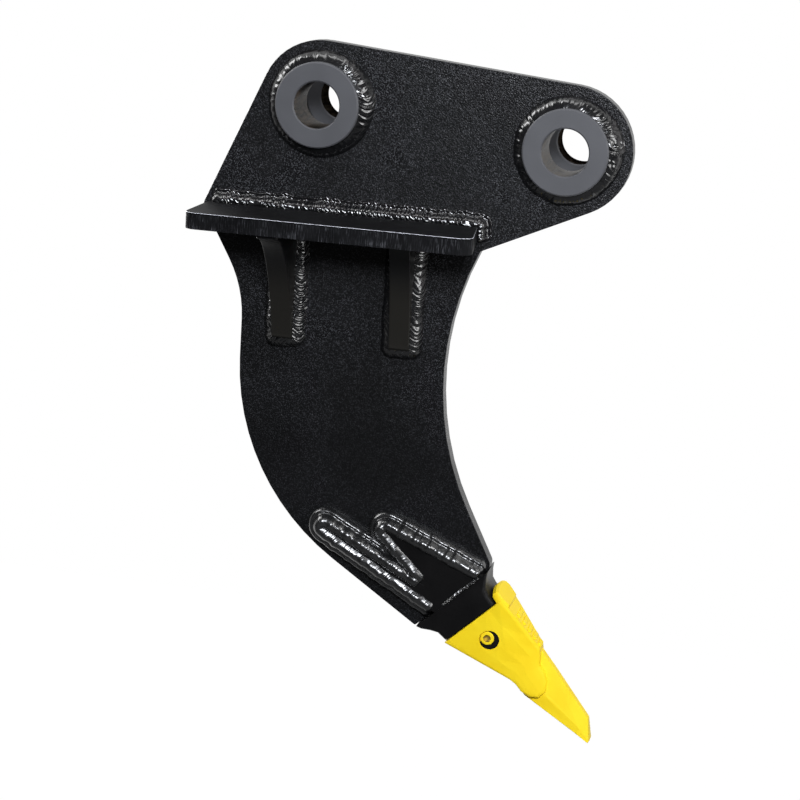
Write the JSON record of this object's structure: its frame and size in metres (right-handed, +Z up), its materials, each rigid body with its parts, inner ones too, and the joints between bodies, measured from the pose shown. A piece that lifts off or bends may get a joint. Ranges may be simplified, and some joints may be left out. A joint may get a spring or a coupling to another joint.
{
  "type": "excavator ripper",
  "caption": "Curved steel ripper shank for a small excavator: plate ears with pin hubs, gusseted wings, welded nose and a side-pinned pointed tooth.",
  "frame": {"origin": "on the arm pin's axis, in the middle of the main plate's thickness", "axes": "+X along the wings from the link pin's side to the arm pin's, the side that the tooth digs towards; +Y across the ears, from the near face to the second ear; +Z up"},
  "size_m": [0.4259, 0.2091, 0.674],
  "materials": {
    "plate_paint": "gloss black paint with a fine grain",
    "edge_paint": "satin black paint",
    "hub_satin": "satin dark grey, machined ends",
    "bead_gloss": "gloss black over rippled weld",
    "cast_black": "satin black over cast steel",
    "tooth_yellow": "satin yellow paint",
    "ring_rubber": "dark rubber"
  },
  "bodies": {
    "root": {"far_ear": "plate_paint", "far_hub_arm": "hub_satin", "far_hub_link": "hub_satin", "gusset_far_front": "edge_paint", "gusset_far_rear": "edge_paint", "gusset_near_front": "edge_paint", "gusset_near_rear": "edge_paint", "hub_arm": "hub_satin", "hub_link": "hub_satin", "lock_ring_far": "ring_rubber", "lock_ring_near": "ring_rubber", "main_plate": "plate_paint", "nose_adapter": "cast_black", "tooth": "tooth_yellow", "tooth_pin": "tooth_yellow", "weld_cheek_far": "bead_gloss", "weld_cheek_near": "bead_gloss", "weld_far_ear_inner": "bead_gloss", "weld_far_ear_outer": "bead_gloss", "weld_far_hub_arm": "bead_gloss", "weld_far_hub_link": "bead_gloss", "weld_gusset_far_front": "bead_gloss", "weld_gusset_far_rear": "bead_gloss", "weld_gusset_near_front": "bead_gloss", "weld_gusset_near_rear": "bead_gloss", "weld_hub_arm_far": "bead_gloss", "weld_hub_arm_near": "bead_gloss", "weld_hub_link_far": "bead_gloss", "weld_hub_link_near": "bead_gloss", "weld_wing_far": "bead_gloss", "weld_wing_near": "bead_gloss", "wing_far": "edge_paint", "wing_near": "edge_paint"}
  },
  "joints": []
}
